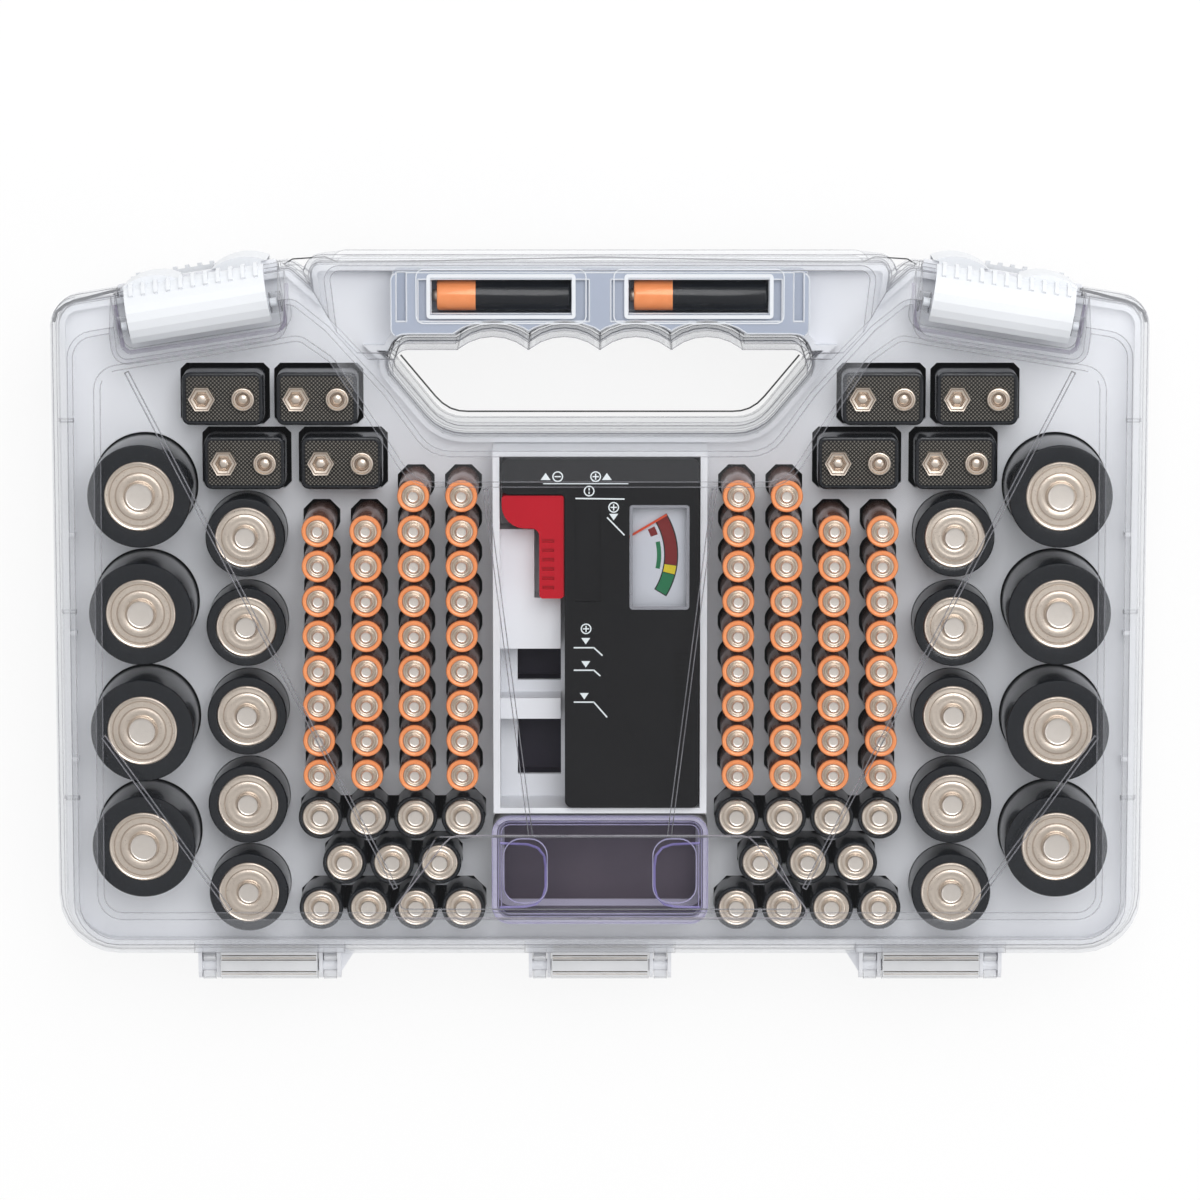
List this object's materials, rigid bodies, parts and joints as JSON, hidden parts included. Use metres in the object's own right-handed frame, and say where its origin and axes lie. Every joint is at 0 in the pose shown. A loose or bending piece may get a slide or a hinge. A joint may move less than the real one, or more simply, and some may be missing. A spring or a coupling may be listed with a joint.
{
  "type": "battery storage case",
  "caption": "Carrying case with a handle and two clear hinged lids over a tray of fitted battery wells, with latches, a lift-out battery tester and a covered button-cell compartment.",
  "frame": {"origin": "centre of the case's footprint, on the outer face of the rear lid, which it lies on", "axes": "+X across the case to the right, +Y from the hinges to the handle, +Z out through the front lid"},
  "size_m": [0.3556, 0.2404, 0.073],
  "materials": {
    "base_white": "satin white moulded plastic",
    "clear_lid": "clear polished plastic",
    "latch_white": "white plastic",
    "tester_black": "fine-textured black plastic",
    "clear_window": "clear window",
    "dial_white": "printed dial",
    "meter_grey": "moulded meter body",
    "needle_dark": "thin needle",
    "slider_red": "red plastic",
    "cover_purple": "purple-tinted clear plastic",
    "cell_black": "black jacket with plated steel ends",
    "cell_copper": "copper-coloured jacket with plated steel ends"
  },
  "bodies": {
    "base": {"aa_cells_left": "cell_black", "aa_cells_right": "cell_black", "aa_wells_left": "base_white", "aa_wells_right": "base_white", "aaa_cells_left": "cell_copper", "aaa_cells_right": "cell_copper", "aaa_wells_left": "base_white", "aaa_wells_right": "base_white", "base_flange": "base_white", "bay_pockets": "base_white", "button_tray": "base_white", "c_cells_left": "cell_black", "c_cells_right": "cell_black", "c_wells_left": "base_white", "c_wells_right": "base_white", "catch_ledge_left": "base_white", "catch_ledge_right": "base_white", "d_cells_left": "cell_black", "d_cells_right": "cell_black", "d_wells_left": "base_white", "d_wells_right": "base_white", "handle_cells": "cell_copper", "handle_core": "base_white", "hinge_bracket_centre": "base_white", "hinge_bracket_left": "base_white", "hinge_bracket_right": "base_white", "nine_volt_cells_left": "cell_black", "nine_volt_cells_right": "cell_black", "nine_volt_wells_left": "base_white", "nine_volt_wells_right": "base_white", "tester_bay": "base_white", "wall_gussets_left": "base_white", "wall_gussets_right": "base_white"},
    "front_lid": {"front_lid": "clear_lid", "front_hinge_clips": "clear_lid"},
    "rear_lid": {"rear_lid": "clear_lid", "rear_hinge_clips": "clear_lid"},
    "front_latch_left": {"front_latch_left": "latch_white"},
    "front_latch_right": {"front_latch_right": "latch_white"},
    "rear_latch_left": {"rear_latch_left": "latch_white"},
    "rear_latch_right": {"rear_latch_right": "latch_white"},
    "tester": {"tester_rear_case": "tester_black", "tester_front_case": "tester_black", "tester_window": "clear_window", "tester_dial": "dial_white", "tester_meter": "meter_grey"},
    "slider": {"tester_slider": "slider_red"},
    "needle": {"meter_needle": "needle_dark"},
    "cover": {"button_cover": "cover_purple"}
  },
  "joints": [
    {"name": "front_lid_hinge", "type": "hinge", "parent": "base", "child": "front_lid", "pos_m": [0, -0.1156, 0.0365], "axis": [1, 0, 0], "range_deg": [0, 95]},
    {"name": "rear_lid_hinge", "type": "hinge", "parent": "base", "child": "rear_lid", "pos_m": [0, -0.1156, 0.0365], "axis": [-1, 0, 0], "range_deg": [0, 95]},
    {"name": "front_latch_right_pivot", "type": "hinge", "parent": "front_lid", "child": "front_latch_right", "pos_m": [0.12865, 0.10279, 0.054], "axis": [0.9869, -0.1615, 0], "range_deg": [0, 60]},
    {"name": "front_latch_left_pivot", "type": "hinge", "parent": "front_lid", "child": "front_latch_left", "pos_m": [-0.12865, 0.10279, 0.054], "axis": [0.9869, 0.1615, 0], "range_deg": [0, 60]},
    {"name": "rear_latch_right_pivot", "type": "hinge", "parent": "rear_lid", "child": "rear_latch_right", "pos_m": [0.12865, 0.10279, 0.019], "axis": [-0.9869, 0.1615, 0], "range_deg": [0, 60]},
    {"name": "rear_latch_left_pivot", "type": "hinge", "parent": "rear_lid", "child": "rear_latch_left", "pos_m": [-0.12865, 0.10279, 0.019], "axis": [-0.9869, -0.1615, 0], "range_deg": [0, 60]},
    {"name": "tester_lift", "type": "slide", "parent": "base", "child": "tester", "axis": [0, 0, 1], "range_m": [0, 0.0035]},
    {"name": "slider_travel", "type": "slide", "parent": "tester", "child": "slider", "axis": [0, -1, 0], "range_m": [0, 0.025]},
    {"name": "needle_swing", "type": "hinge", "parent": "tester", "child": "needle", "pos_m": [-0.0008, 0.0248, 0.0564], "axis": [0, 0, -1], "range_deg": [0, 61], "stiffness_Nm_per_rad": 0.0001},
    {"name": "cover_lift", "type": "slide", "parent": "base", "child": "cover", "axis": [0, 0, 1], "range_m": [0, 0.006]}
  ]
}
